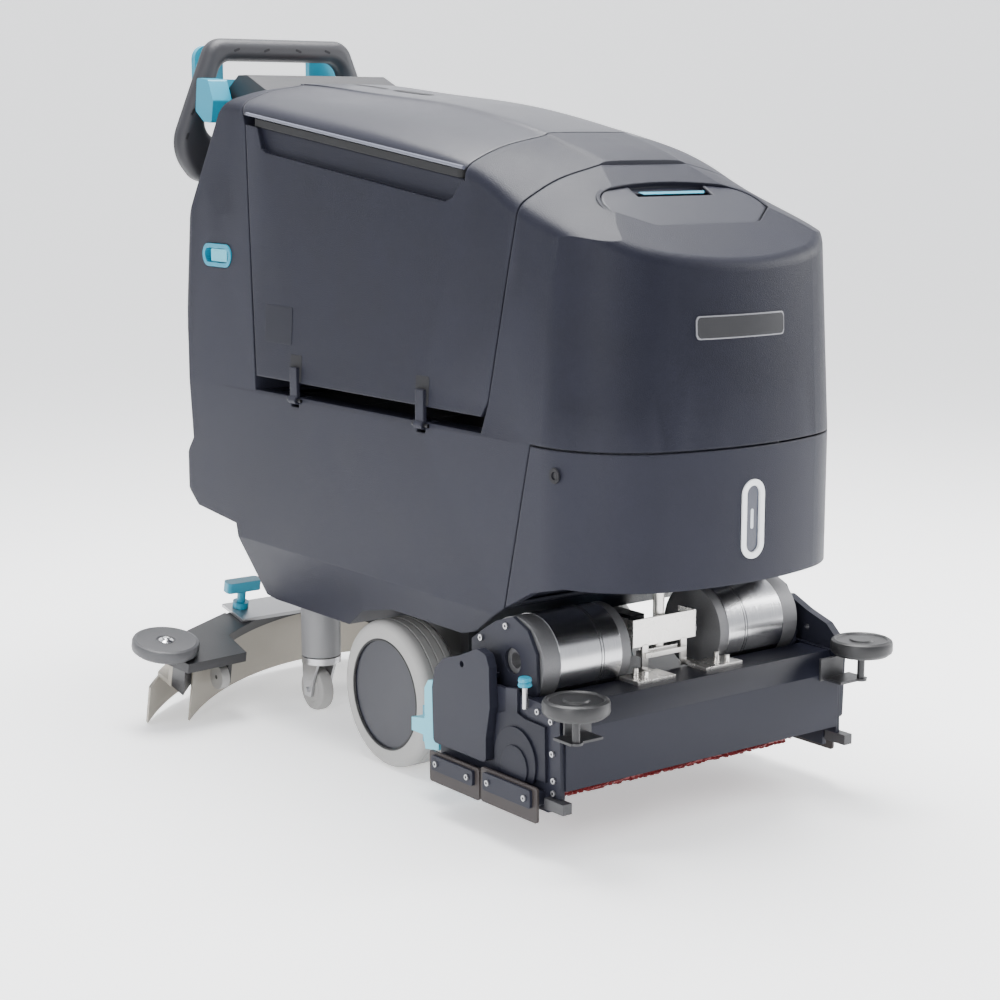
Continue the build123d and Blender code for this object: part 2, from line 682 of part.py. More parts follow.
# ---- brush deck -------------------------------------------------------------
ledge_x, ledge_z, roof_z = 450.0, 226.0, 192.0
with BuildPart() as deck_frame:
    with BuildSketch(Plane.XZ):
        with BuildLine():
            Polyline((deck_front_x, deck_bottom_z), (deck_front_x, 195), (512, ledge_z), (ledge_x, ledge_z),
                     (ledge_x - 6, roof_z), (deck_rear_x + 14, roof_z), (deck_rear_x, roof_z - 16),
                     (deck_rear_x, deck_bottom_z + 40), (deck_rear_x + sheet, deck_bottom_z + 40),
                     (deck_rear_x + sheet, roof_z - 18), (deck_rear_x + 15, roof_z - sheet),
                     (ledge_x - 2, roof_z - sheet), (ledge_x + 4, ledge_z - sheet),
                     (510, ledge_z - sheet), (deck_front_x - sheet, 193), (deck_front_x - sheet, deck_bottom_z),
                     close=True)
        make_face()
    extrude(amount=deck_half, both=True)
    for side in (-1, 1):
        # end walls, with the brush bearings' bores
        with BuildSketch(Plane.XZ.offset(-side * deck_half)):
            with BuildLine():
                Polyline((deck_front_x - 2, 92), (deck_front_x - 6, ledge_z), (378, ledge_z + 6),
                         (deck_rear_x - 6, 205), (deck_rear_x - 4, 90), (366, 84), (366, 66), (505, 66),
                         (505, 92), close=True)
            make_face()
        extrude(amount=-side * end_plate)
    for x in (front_brush_x, rear_brush_x):
        with Locations(Location((x, 0, brush_z), (90, 0, 0))):
            Cylinder(10 + running_gap, 2 * (deck_half + end_plate) + 10, mode=Mode.SUBTRACT)
    # brackets that slide on the lift guides
    for side in (-1, 1):
        with Locations(((guide_x - 13 + deck_rear_x + 2) / 2, side * guide_y, 165)):
            Box(deck_rear_x + 15 - guide_x, 34, 18)
        with Locations((guide_x, side * guide_y, 165)):
            Cylinder(guide_r + running_gap, 60, mode=Mode.SUBTRACT)
save("deck_frame", deck_frame.part)

plate_y = deck_half + end_plate
with BuildPart() as deck_end_plates:
    for side, brush_x in ((-1, front_brush_x), (1, rear_brush_x)):
        away = 1 if side < 0 else -1       # towards the plate's outer end
        inner_x = brush_x - away * 50
        outer_x = brush_x + away * 70
        with BuildSketch(Plane.XZ.offset(-side * plate_y)):
            with BuildLine():
                Polyline((inner_x, 112), (inner_x, 190), (brush_x - away * 26, 200),
                         (brush_x - away * 26, 236), (brush_x + away * 2, 240), (brush_x + away * 2, 203),
                         (brush_x + away * 20, 198), (outer_x - away * 2, 196), (outer_x, 112), close=True)
            make_face()
        extrude(amount=-side * 5)
        with Locations(Location((brush_x, side * (plate_y + 6), brush_z + 14), (90, 0, 0))):
            Cylinder(50, 4)
        with Locations(Location((brush_x, side * (plate_y + 8.5), brush_z + 4), (90, 0, 0))):
            Cylinder(32, 3)
        with Locations((brush_x, side * (plate_y + 6), brush_z - 60)):
            Box(300, 30, 94, mode=Mode.SUBTRACT)
save("deck_end_plates", deck_end_plates.part)


def cover_outline(side):
    """Belt cover in side view: round over the motor pulley, tapering to the brush."""
    turned = 760.0             # the left cover is the right one turned about this
    points = [(235, 112), (232, 200), (240, 232), (262, 252), (306, 266), (350, 285), (372, 280),
              (380, 262), (382, 199), (372, 150), (372, 112)]
    if side > 0:
        points = [(turned - x, z + 14 if z > 190 else z) for x, z in points]
    return points


with BuildPart() as belt_covers:
    for side in (-1, 1):
        with BuildSketch(Plane.XZ.offset(-side * (plate_y + gap))) as cover_face:
            with BuildLine():
                Polyline(*cover_outline(side), close=True)
            make_face()
            fillet(cover_face.vertices().group_by(Axis.Z)[-1], 8)
        extrude(amount=-side * 15)
        with Locations(Location((311 if side < 0 else 455, side * (plate_y + 10), 253), (90, 0, 0))):
            Cylinder(5, 40, mode=Mode.SUBTRACT)
        # domed plate beside the motor's end
        with BuildSketch(Plane.XZ.offset(-side * (motor_out_y + gap))):
            with BuildLine():
                Polyline((288, 206), (288, 284), (318, 304), (350, 323), (392, 337), (428, 322), (449, 290),
                         (452, 232), (440, 206), close=True)
            make_face()
        extrude(amount=-side * 6)
        with Locations(Location((motor_x, side * (motor_out_y + 3), motor_z), (90, 0, 0))):
            Cylinder(20, 20, mode=Mode.SUBTRACT)
        # web that ties the domed plate to the belt cover
        with Locations((330 if side < 0 else 404, side * (motor_out_y + gap + 6 + 10.75), 240)):
            Box(60, 21.5, 8)
save("belt_covers", belt_covers.part)

skirt_spans = (((232, 50, 362, 100), (366, 52, 504, 106)), ((232, 50, 362, 100), (366, 52, 504, 106)))
skirt_y = plate_y + 16 + gap
with BuildPart() as skirt_rubbers:
    for side, spans in zip((-1, 1), skirt_spans):
        for x0, z0, x1, z1 in spans:
            with Locations(((x0 + x1) / 2, side * (skirt_y + 2), (z0 + z1) / 2)):
                Box(x1 - x0, 4, z1 - z0)
    fillet(skirt_rubbers.edges().filter_by(Axis.Y), 5)
save("skirt_rubbers", skirt_rubbers.part)

with BuildPart() as skirt_retainers:
    for side, spans in zip((-1, 1), skirt_spans):
        for x0, z0, x1, z1 in spans:
            with Locations(((x0 + x1) / 2, side * (skirt_y + 6.5), (z0 + z1) / 2 + 8)):
                Box(x1 - x0 - 22, 5, z1 - z0 - 26)
            # backing strip between the skirt and the end wall
            with Locations(((x0 + x1) / 2, side * (plate_y + 8), (z0 + z1) / 2 + 8)):
                Box(x1 - x0 - 12, 16, 22)
    fillet(skirt_retainers.edges().filter_by(Axis.Y), 4)
save("skirt_retainers", skirt_retainers.part)

end_screws = {-1: ((480, 214), (512, 206), (515, 158), (518, 118), (518, 99)),
              1: ((270, 208), (358, 208))}
with BuildPart() as deck_screws:
    for side, spans in zip((-1, 1), skirt_spans):
        for x0, z0, x1, z1 in spans:
            for x in (x0 + 24, x1 - 24):
                with Locations(Location((x, side * (skirt_y + 10.5), (z0 + z1) / 2 + 8), (90, 0, 0))):
                    Cylinder(4.5, 3)
        for x, z in end_screws[side]:
            with Locations(Location((x, side * (plate_y + 1.5), z), (90, 0, 0))):
                Cylinder(4.5, 3)
        for x, z in ((313, 290), (376, 320)):
            with Locations(Location((x, side * (motor_out_y + gap + 7.5), z), (90, 0, 0))):
                Cylinder(5, 3)
save("deck_screws", deck_screws.part)

# ---- brush motors -----------------------------------------------------------
with BuildPart() as motor_cans:
    for side in (-1, 1):
        mid = side * (motor_in_y + 18 + motor_out_y - 32) / 2
        with Locations(Location((motor_x, mid, motor_z), (90, 0, 0))):
            Cylinder(motor_r, motor_out_y - motor_in_y - 50)
            Cylinder(12, motor_out_y - motor_in_y - 30)
save("motor_cans", motor_cans.part)

with BuildPart() as motor_end_rings:
    for side in (-1, 1):
        for y, width in ((motor_in_y + 9, 18), (motor_out_y - 16, 32)):
            with Locations(Location((motor_x, side * y, motor_z), (90, 0, 0))):
                Cylinder(motor_r - 1, width)
                Cylinder(12 + gap / 5, width + 2, mode=Mode.SUBTRACT)
    # feet that bolt to the deck's roof
    for side in (-1, 1):
        with Locations((motor_x, side * (motor_out_y - 16), roof_z + 8)):
            Box(60, 30, 15.6)
save("motor_end_rings", motor_end_rings.part)

lift_x = 416.0
with BuildPart() as lift_bracket:
    # folded bracket between the motors
    with Locations((430, 0, 287)):
        Box(3, 130, 44)
    for side in (-1, 1):
        with Locations((412, side * 63.5, 287)):
            Box(39, 3, 44)
        with Locations((430, side * 40, 245)):
            Box(4, 12, 44)
        with Locations((472, side * 70, ledge_z + 3)):
            Box(44, 76, 6)
        for x in (460, 484):
            with Locations((x, side * 84, ledge_z + 11)):
                Cylinder(4, 12)
        with Locations((452, side * 46, ledge_z + 3)):
            Box(44, 12, 6)
    with Locations((lift_x, 0, 345)):
        Cylinder(9, 190)
    with Locations((lift_x, 0, 287)):
        Box(24, 124, 10)
    with Locations((lift_x, 0, 252)):
        Box(24, 60, 12)
    with Locations((lift_x + 8, 0, 250)):
        Box(24, 84, 8)
save("lift_bracket", lift_bracket.part)

with BuildPart() as lift_actuator:
    with Locations((lift_x, 0, 402)):
        Cylinder(17, 104)
    with Locations((lift_x, 0, 397)):
        Cylinder(9 + running_gap, 96, mode=Mode.SUBTRACT)
    with Locations((lift_x - 16, 0, 436)):
        Box(12, 40, 24)
save("lift_actuator", lift_actuator.part)

# ---- bumpers on the deck's front corners -----------------------------------
with BuildPart() as bumper_brackets:
    for side in (-1, 1):
        y = side * roller_y
        with Locations((deck_front_x + 2, side * 262, 205)):
            Box(4 - gap / 5, 50, 36)
        with Locations((deck_front_x + 20, side * 275, 189)):
            Box(40, 60, 4)
        with Locations((roller_x, y, 189)):
            Cylinder(10, 4)
        with Locations((roller_x, y, 211)):
            Cylinder(6, 44)
        with Locations((roller_x, y, 231)):
            Cylinder(4, 44)
        # corner shoes under the end walls
        with Locations((530, side * (plate_y + 2), 83.5)):
            Box(44, 17, 16.5)
save("bumper_brackets", bumper_brackets.part)

for side, hand in ((-1, "right"), (1, "left")):
    with BuildPart() as bumper_roller:
        with Locations((roller_x, side * roller_y, roller_top_z - roller_thick / 2)):
            Cylinder(roller_r, roller_thick)
        fillet(bumper_roller.edges(), 4)
        with Locations((roller_x, side * roller_y, roller_top_z - roller_thick / 2 - 5)):
            Cylinder(6.5, roller_thick + 10, mode=Mode.SUBTRACT)
        with Locations((roller_x, side * roller_y, roller_top_z - 8)):
            Cylinder(7, 8)
            Cylinder(4 + running_gap, 60, mode=Mode.SUBTRACT)
    save(f"bumper_roller_{hand}", bumper_roller.part)
    with BuildPart() as plate_knob:
        knob_x = front_brush_x + 22 if side < 0 else rear_brush_x - 22
        with Locations((knob_x, side * (plate_y + 6), 231)):
            Cylinder(4, 34)
        with Locations((knob_x, side * (plate_y + 6), 255)):
            Box(40, 22, 14)
        fillet(plate_knob.edges().filter_by(Axis.Z).group_by(SortBy.LENGTH)[0], 5)
    save(f"plate_knob_{hand}", plate_knob.part)

# ---- brushes ----------------------------------------------------------------
for name, x in (("front_brush", front_brush_x), ("rear_brush", rear_brush_x)):
    with BuildPart() as brush:
        with Locations(Location((x, 0, brush_z), (90, 0, 0))):
            Cylinder(brush_r, brush_len)
            Cylinder(10, 2 * (deck_half + end_plate) - 4)
    save(name, brush.part)

# ---- debris tray ------------------------------------------------------------
tray_rear_x, tray_front_x = 146.0, 210.0
tray_half, tray_z = 262.0, 84.0
with BuildPart() as debris_tray:
    with Locations(((tray_rear_x + tray_front_x) / 2, 0, tray_z + 30)):
        Box(tray_front_x - tray_rear_x, 2 * tray_half, 60)
    offset(amount=-3, openings=debris_tray.faces().sort_by(Axis.Z)[-1])
save("debris_tray", debris_tray.part)

with BuildPart() as tray_handle:
    with BuildSketch(Plane.XZ.offset(tray_half + gap)):
        with BuildLine():
            Polyline((188, 86), (224, 92), (224, 206), (196, 200), (186, 186), (186, 136), (150, 130), (150, 108),
                     (182, 108), close=True)
        make_face()
    extrude(amount=24)
save("tray_handle", tray_handle.part)

# ---- squeegee ---------------------------------------------------------------
# Drawn lowered, about the pivot of its carrier, then raised by its tilt.
tilt = radians(squeegee_tilt)
raised = Plane(origin=(pivot_x, 0, pivot_z), x_dir=(cos(tilt), 0, -sin(tilt)), z_dir=(sin(tilt), 0, cos(tilt)))


def squeegee_sketch_plane(z):
    """Level plane of the lowered squeegee, carried up with its tilt."""
    return raised.offset(z - pivot_z)


def bow(rear, front, half):
    """Bow between two arcs about the squeegee's centre, cut off at a half width."""
    centre = blade_x + squeegee_arc_r
    with BuildSketch() as outline:
        with Locations((centre - pivot_x, 0)):
            Circle(centre - rear)
            Circle(centre - front, mode=Mode.SUBTRACT)
        with Locations((centre - squeegee_arc_r - pivot_x, 0)):
            Rectangle(squeegee_arc_r, 2 * half, mode=Mode.INTERSECT)
    return outline.sketch


plate_top, plate_low = 140.0, 122.0
with BuildPart() as squeegee_head:
    with BuildSketch(squeegee_sketch_plane(plate_low)):
        add(bow(-588, -532, 330))
        for side in (-1, 1):
            with BuildLine():
                Polyline((-376 - pivot_x, side * 278), (-368 - pivot_x, side * 400), (disc_x - 8 - pivot_x, side * 424),
                         (-500 - pivot_x, side * 329), (-545 - pivot_x, side * 228), (-500 - pivot_x, side * 200),
                         (-474 - pivot_x, side * 270), close=True)
            make_face()
    extrude(amount=plate_top - plate_low)
    # rib that carries the blades
    with BuildSketch(squeegee_sketch_plane(74)):
        add(bow(-590, -560, 400))
    extrude(amount=plate_low - 74)
    for side in (-1, 1):
        with BuildSketch(squeegee_sketch_plane(plate_top)):
            with Locations((disc_x - pivot_x, side * disc_y)):
                Circle(8)
        extrude(amount=disc_thick - 2)
    for side in (-1, 1):
        with BuildSketch(squeegee_sketch_plane(60)):
            with Locations((-427 - pivot_x, side * 283)):
                Rectangle(14, 8)
        extrude(amount=plate_low - 60)
    with Locations(raised * Location((-427 - pivot_x, 0, 72.5 - pivot_z), (90, 0, 0))):
        Cylinder(4, 2 * 283)
        Cylinder(6, 2 * 279, mode=Mode.SUBTRACT)
    for side in (-1, 1):
        with Locations(raised * Location((-427 - pivot_x, side * 293, 72.5 - pivot_z), (90, 0, 0))):
            Cylinder(4, 26)
save("squeegee_head", squeegee_head.part)

with BuildPart() as squeegee_blades:
    with BuildSketch(squeegee_sketch_plane(0.8)):
        add(bow(blade_x, blade_x + 5, blade_half))
    extrude(amount=70)
    with BuildSketch(squeegee_sketch_plane(10)):
        add(bow(-556, -552, 372))
    extrude(amount=100)
    with BuildSketch(squeegee_sketch_plane(70.8)):
        add(bow(blade_x, -594, 400))
    extrude(amount=8)
    with BuildSketch(squeegee_sketch_plane(70.8)):
        add(bow(-600, -590.4, 400))
    extrude(amount=44)
save("squeegee_blades", squeegee_blades.part)

with BuildPart() as squeegee_carrier:
    with BuildSketch(squeegee_sketch_plane(plate_top + gap)):
        with Locations((-532 - pivot_x, 0)):
            Rectangle(76, 440)
        with Locations((-475 - pivot_x, 0)):
            Rectangle(60, 110)
    extrude(amount=6)
    with Locations(raised * Location((0, 0, 0), (90, 0, 0))):
        Cylinder(16, 118)
        Cylinder(6 + running_gap, 130, mode=Mode.SUBTRACT)
    with Locations(raised):
        Box(40, 48, 44, mode=Mode.SUBTRACT)
        for side in (-1, 1):
            with Locations((-14, side * 46, -14)):
                Box(20, 24, 26)
    with Locations(raised * Location((0, 0, 0), (90, 0, 0))):
        Cylinder(6 + running_gap, 130, mode=Mode.SUBTRACT)
save("squeegee_carrier", squeegee_carrier.part)

for side, hand in ((-1, "right"), (1, "left")):
    with BuildPart() as squeegee_roller:
        with BuildSketch(squeegee_sketch_plane(plate_top + 1)):
            with Locations((disc_x - pivot_x, side * disc_y)):
                Circle(disc_r)
                Circle(8 + running_gap, mode=Mode.SUBTRACT)
        extrude(amount=disc_thick)
        fillet(squeegee_roller.edges().filter_by(GeomType.CIRCLE).group_by(SortBy.RADIUS)[-1], 4)
    save(f"squeegee_roller_{hand}", squeegee_roller.part)
    with BuildPart() as squeegee_knob:
        with BuildSketch(squeegee_sketch_plane(plate_top + gap + 6 + gap)):
            with Locations((-545 - pivot_x, side * 195)):
                Circle(15)
        extrude(amount=12)
        with BuildSketch(squeegee_sketch_plane(plate_top + 18)):
            with Locations((-545 - pivot_x, side * 195)):
                Circle(8)
        extrude(amount=24)
        with BuildSketch(squeegee_sketch_plane(plate_top + 42)):
            with Locations((-545 - pivot_x, side * 195)):
                RectangleRounded(24, 72, 8)
        extrude(amount=20)
    save(f"squeegee_knob_{hand}", squeegee_knob.part)

with BuildPart() as squeegee_wheels:
    for side in (-1, 1):
        with Locations(raised * Location((-427 - pivot_x, side * 298, 72.5 - pivot_z), (90, 0, 0))):
            Cylinder(22.5, 16)
            Cylinder(4 + running_gap, 20, mode=Mode.SUBTRACT)
save("squeegee_wheels", squeegee_wheels.part)

with BuildPart() as squeegee_lever:
    with Locations((lever_x - 6, lever_y, lever_z + 30)):
        Box(12, 34, 70)
    with Locations(Location((lever_x, lever_y, lever_z), (90, 0, 0))):
        Cylinder(12, 34)
        Cylinder(5 + running_gap, 40, mode=Mode.SUBTRACT)
save("squeegee_lever", squeegee_lever.part)
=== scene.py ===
import bmesh
import bpy
import random
from math import cos, pi, radians, sin, sqrt, tan
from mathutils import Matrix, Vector


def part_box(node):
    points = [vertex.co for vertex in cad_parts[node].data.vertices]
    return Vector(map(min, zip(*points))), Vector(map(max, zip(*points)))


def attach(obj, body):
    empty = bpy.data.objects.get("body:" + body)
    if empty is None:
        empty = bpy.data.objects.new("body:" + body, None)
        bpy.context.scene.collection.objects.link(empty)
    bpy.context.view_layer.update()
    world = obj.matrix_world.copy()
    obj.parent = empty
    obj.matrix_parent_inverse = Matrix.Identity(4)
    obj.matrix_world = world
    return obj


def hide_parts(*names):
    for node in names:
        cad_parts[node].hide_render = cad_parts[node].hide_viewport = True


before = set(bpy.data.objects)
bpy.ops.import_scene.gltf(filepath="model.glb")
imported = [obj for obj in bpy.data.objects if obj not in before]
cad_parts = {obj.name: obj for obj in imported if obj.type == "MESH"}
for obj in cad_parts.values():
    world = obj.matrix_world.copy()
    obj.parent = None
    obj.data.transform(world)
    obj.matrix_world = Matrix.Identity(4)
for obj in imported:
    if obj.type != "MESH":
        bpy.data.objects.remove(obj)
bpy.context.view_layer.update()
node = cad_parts

# ---- Camera: front right of the machine, just below the height of its lid ----
camera_data = bpy.data.cameras.new("camera")
camera_data.lens = 75.01
camera_data.sensor_width = 36.0
camera = bpy.data.objects.new("camera", camera_data)
camera.location = (2.7997, -2.1130, 1.0599)
camera.rotation_euler = (radians(90 - 10.197), 0, radians(52.907))
bpy.context.collection.objects.link(camera)
bpy.context.scene.camera = camera

# ---- Studio: pale seamless floor that rises behind the machine, and soft lights ----
def new_object(name, mesh):
    """Link a mesh as an object at the frame's origin."""
    thing = bpy.data.objects.new(name, mesh)
    bpy.context.collection.objects.link(thing)
    return thing


def material(name, colour, rough, metal=0.0, grain=0.0, grain_scale=900.0, mottle=0.06, mottle_scale=9.0,
             stretch=(1, 1, 1), edge=0.0015, coat=0.0, edge_paling=0.0, gleam=0.5):
    """Procedural finish: mottled colour, uneven roughness, surface grain and softened edges."""
    made = bpy.data.materials.new(name)
    made.use_nodes = True
    nodes, links = made.node_tree.nodes, made.node_tree.links
    shader = nodes["Principled BSDF"]
    place = nodes.new("ShaderNodeTexCoord")
    spread = nodes.new("ShaderNodeMapping")
    spread.inputs["Scale"].default_value = stretch
    links.new(place.outputs["Object"], spread.inputs["Vector"])
    broad = nodes.new("ShaderNodeTexNoise")
    broad.inputs["Scale"].default_value = mottle_scale
    broad.inputs["Detail"].default_value = 6.0
    links.new(spread.outputs["Vector"], broad.inputs["Vector"])
    fine = nodes.new("ShaderNodeTexNoise")
    fine.inputs["Scale"].default_value = grain_scale
    fine.inputs["Detail"].default_value = 3.0
    links.new(spread.outputs["Vector"], fine.inputs["Vector"])
    blend = nodes.new("ShaderNodeMath")
    blend.operation = "ADD"
    links.new(broad.outputs["Fac"], blend.inputs[0])
    links.new(fine.outputs["Fac"], blend.inputs[1])
    ramp = nodes.new("ShaderNodeValToRGB")
    ramp.color_ramp.elements[0].position = 0.25
    ramp.color_ramp.elements[1].position = 0.75
    ramp.color_ramp.elements[0].color = (*[c * (1 - mottle) for c in colour], 1)
    ramp.color_ramp.elements[1].color = (*[min(1, c * (1 + mottle)) for c in colour], 1)
    half = nodes.new("ShaderNodeMath")
    half.operation = "MULTIPLY"
    half.inputs[1].default_value = 0.5
    links.new(blend.outputs[0], half.inputs[0])
    links.new(half.outputs[0], ramp.inputs["Fac"])
    tone = ramp.outputs["Color"]
    if edge_paling:
        # convex edges mixed towards a paler tone
        geometry = nodes.new("ShaderNodeNewGeometry")
        convex_mask = nodes.new("ShaderNodeMapRange")
        convex_mask.inputs["From Min"].default_value = 0.53
        convex_mask.inputs["From Max"].default_value = 0.60
        convex_mask.inputs["To Max"].default_value = edge_paling
        links.new(geometry.outputs["Pointiness"], convex_mask.inputs["Value"])
        pale = nodes.new("ShaderNodeMix")
        pale.data_type = "RGBA"
        links.new(convex_mask.outputs["Result"], pale.inputs[0])
        links.new(tone, pale.inputs[6])
        pale.inputs[7].default_value = (*[min(1, c * 2.2 + 0.03) for c in colour], 1)
        tone = pale.outputs[2]
    links.new(tone, shader.inputs["Base Color"])
    sheen = nodes.new("ShaderNodeMapRange")
    sheen.inputs["To Min"].default_value = max(0.02, rough - 0.06)
    sheen.inputs["To Max"].default_value = min(1.0, rough + 0.06)
    links.new(broad.outputs["Fac"], sheen.inputs["Value"])
    links.new(sheen.outputs["Result"], shader.inputs["Roughness"])
    shader.inputs["Metallic"].default_value = metal
    shader.inputs["Coat Weight"].default_value = coat
    shader.inputs["Specular IOR Level"].default_value = gleam
    soft = nodes.new("ShaderNodeBevel")
    soft.samples = 4
    soft.inputs["Radius"].default_value = edge
    bump = nodes.new("ShaderNodeBump")
    bump.inputs["Strength"].default_value = grain
    bump.inputs["Distance"].default_value = 0.001
    links.new(fine.outputs["Fac"], bump.inputs["Height"])
    links.new(soft.outputs["Normal"], bump.inputs["Normal"])
    links.new(bump.outputs["Normal"], shader.inputs["Normal"])
    return made


def paint(made, *names):
    """Give CAD nodes a material."""
    for name in names:
        data = node[name].data
        data.materials.clear()
        data.materials.append(made)


floor_mesh = bpy.data.meshes.new("floor")
sweep = [(0.0, -9.0), (0.0, 7.0)]
cyc_r = 3.0
for step in range(1, 17):
    turn = radians(90 * step / 16)
    sweep.append((cyc_r * (1 - cos(turn)), 7.0 + cyc_r * sin(turn)))
sweep.append((12.0, 7.0 + cyc_r))
verts, faces = [], []
for z, run in sweep:
    verts += [(-12.0, run, z), (12.0, run, z)]
for k in range(len(sweep) - 1):
    faces.append((2 * k, 2 * k + 1, 2 * k + 3, 2 * k + 2))
floor_mesh.from_pydata(verts, [], faces)
for face in floor_mesh.polygons:
    face.use_smooth = True
floor = new_object("floor", floor_mesh)
floor.rotation_euler = (0, 0, radians(52.9))
floor.location = (0, 0, -0.001)
paper = material("floor_paper", (0.94, 0.94, 0.94), 0.85, mottle=0.005, edge=0.0001)
paper_shader = paper.node_tree.nodes["Principled BSDF"]
paper_shader.inputs["Emission Color"].default_value = (1, 1, 1, 1)
paper_shader.inputs["Emission Strength"].default_value = 0.6
floor_mesh.materials.append(paper)

world = bpy.data.worlds.new("studio")
bpy.context.scene.world = world
world.use_nodes = True
world.node_tree.nodes["Background"].inputs["Color"].default_value = (0.93, 0.95, 1.0, 1)
world.node_tree.nodes["Background"].inputs["Strength"].default_value = 1.1


def soft_light(name, place, aim, size, power, tint=(1, 1, 1)):
    """Square area light aimed at a point."""
    data = bpy.data.lights.new(name, "AREA")
    data.size = size
    data.energy = power
    data.color = tint
    lamp = bpy.data.objects.new(name, data)
    lamp.location = place
    lamp.rotation_euler = (Vector(aim) - Vector(place)).to_track_quat("-Z", "Y").to_euler()
    bpy.context.collection.objects.link(lamp)


soft_light("overhead", (-0.3, 0.2, 3.4), (0, 0, 0.6), 2.2, 330)
soft_light("corner_strip", (1.9, -3.3, 1.25), (0.5, -0.2, 0.7), 0.6, 52)
soft_light("side_fill", (-0.6, -3.8, 1.4), (0, 0, 0.5), 2.0, 12)
soft_light("far_rim", (1.6, 3.3, 1.9), (0.3, 0.1, 0.8), 1.6, 120)

# ---- Body: rotation-moulded navy-grey tank panels, hood and cowl with a fine cast-in grain ----
shell = material("moulded_shell", (0.0105, 0.0112, 0.0190), 0.42, grain=0.55, grain_scale=620, mottle=0.22,
                 mottle_scale=14, edge=0.004, edge_paling=0.2, gleam=0.14)
paint(shell, "lower_body", "recovery_tank", "front_cowl")
body_half, draft_z, draft = 0.261, 0.599, tan(radians(3))


def wall_y(z):
    """Half width of the body's side at a height."""
    return body_half - max(0.0, z - draft_z) * draft


# blank name badge curved round the nose: dark plate in a bright rim
nose_r, nose_x = 0.506, 0.6220
badge_y, badge_z, badge_long, badge_high = -0.018, 0.775, 0.168, 0.034


def badge(name, long, high, proud, thick):
    """Curved plate on the nose with rounded edges."""
    shape = bmesh.new()
    columns, rows = 72, 6
    corner = 0.006
    grid = []
    for i in range(columns + 1):
        y = badge_y + long * (i / columns - 0.5)
        past = max(0.0, abs(y - badge_y) - (long / 2 - corner))
        reach = high / 2 - corner + sqrt(max(0.0, corner ** 2 - past ** 2))
        strip = []
        for j in range(rows + 1):
            z = badge_z + reach * (2 * j / rows - 1)
            x = nose_x - draft * (z - draft_z) - (nose_r - sqrt(nose_r ** 2 - y ** 2)) + proud
            strip.append(shape.verts.new((x, y, z)))
        grid.append(strip)
    for i in range(columns):
        for j in range(rows):
            shape.faces.new((grid[i][j], grid[i + 1][j], grid[i + 1][j + 1], grid[i][j + 1]))
    back = bmesh.ops.extrude_face_region(shape, geom=shape.faces[:])
    bmesh.ops.translate(shape, vec=(-thick, 0, 0), verts=[v for v in back["geom"] if isinstance(v,
                                                            bmesh.types.BMVert)])
    bmesh.ops.recalc_face_normals(shape, faces=shape.faces)
    mesh = bpy.data.meshes.new(name)
    shape.to_mesh(mesh)
    shape.free()
    plate = new_object(name, mesh)
    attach(plate, "root")
    return plate


rim = badge("badge_rim", badge_long, badge_high, 0.0016, 0.004)
rim.data.materials.append(material("badge_rim_metal", (0.30, 0.30, 0.32), 0.3, metal=0.7, edge=0.0006))
face = badge("badge_face", badge_long - 0.004, badge_high - 0.004, 0.0024, 0.003)
face.data.materials.append(material("badge_black", (0.012, 0.012, 0.014), 0.25, edge=0.0005, coat=0.4))

# blank glossy label low on the right tank panel
def side_plate(name, x, z, long, high, proud, thick, body, side=-1, corner=0.004):
    """Thin rounded plate lying on the side wall."""
    shape = bmesh.new()
    outline = []
    for cx, cz, start in ((1, 1, 0), (-1, 1, 90), (-1, -1, 180), (1, -1, 270)):
        for step in range(5):
            turn = radians(start + 22.5 * step)
            px = x + cx * (long / 2 - corner) + corner * cos(turn)
            pz = z + cz * (high / 2 - corner) + corner * sin(turn)
            outline.append(shape.verts.new((px, side * (wall_y(pz) + proud), pz)))
    top = shape.faces.new(outline)
    out = bmesh.ops.extrude_face_region(shape, geom=[top])
    bmesh.ops.translate(shape, vec=(0, -side * thick, 0),
                        verts=[v for v in out["geom"] if isinstance(v, bmesh.types.BMVert)])
    bmesh.ops.recalc_face_normals(shape, faces=shape.faces)
    mesh = bpy.data.meshes.new(name)
    shape.to_mesh(mesh)
    shape.free()
    plate = new_object(name, mesh)
    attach(plate, body)
    return plate


label = side_plate("blank_label", -0.290, 0.722, 0.088, 0.064, 0.0005, 0.002, "tank")
label.data.materials.append(material("label_film", (0.0085, 0.0090, 0.0150), 0.32, mottle=0.04,
                                     edge=0.0005, gleam=0.18))
# pockets over the hinge hooks, drawn as flat black plates of painted shade; the same black paints the shade
# in the other recesses
recess_painted_shade = material("recess_painted_shade", (0.004, 0.004, 0.006), 0.8, edge=0.0005)
for x in (-0.230, 0.145):
    pocket = side_plate(f"hook_pocket_{'rear' if x < 0 else 'front'}", x, 0.652, 0.036, 0.046, 0.0004,
                        0.003, "tank")
    pocket.data.materials.append(recess_painted_shade)

# ---- Lid: smoother satin moulding with a rolled bead along its sides, coloured pale as a painted highlight ----
# painted light: the lid's colour is set paler than the body shell's to paint the light falling on its
# upturned top; its satin finish and finer grain are its own
lid_skin_painted_light = material("lid_skin_painted_light", (0.0145, 0.0152, 0.0240), 0.33, grain=0.22, grain_scale=900, mottle=0.10,
                    edge=0.006, gleam=0.28)
paint(lid_skin_painted_light, "top_lid", "fill_lid")
paint(material("gasket_black", (0.006, 0.006, 0.007), 0.75, grain=0.1), "lid_gasket")


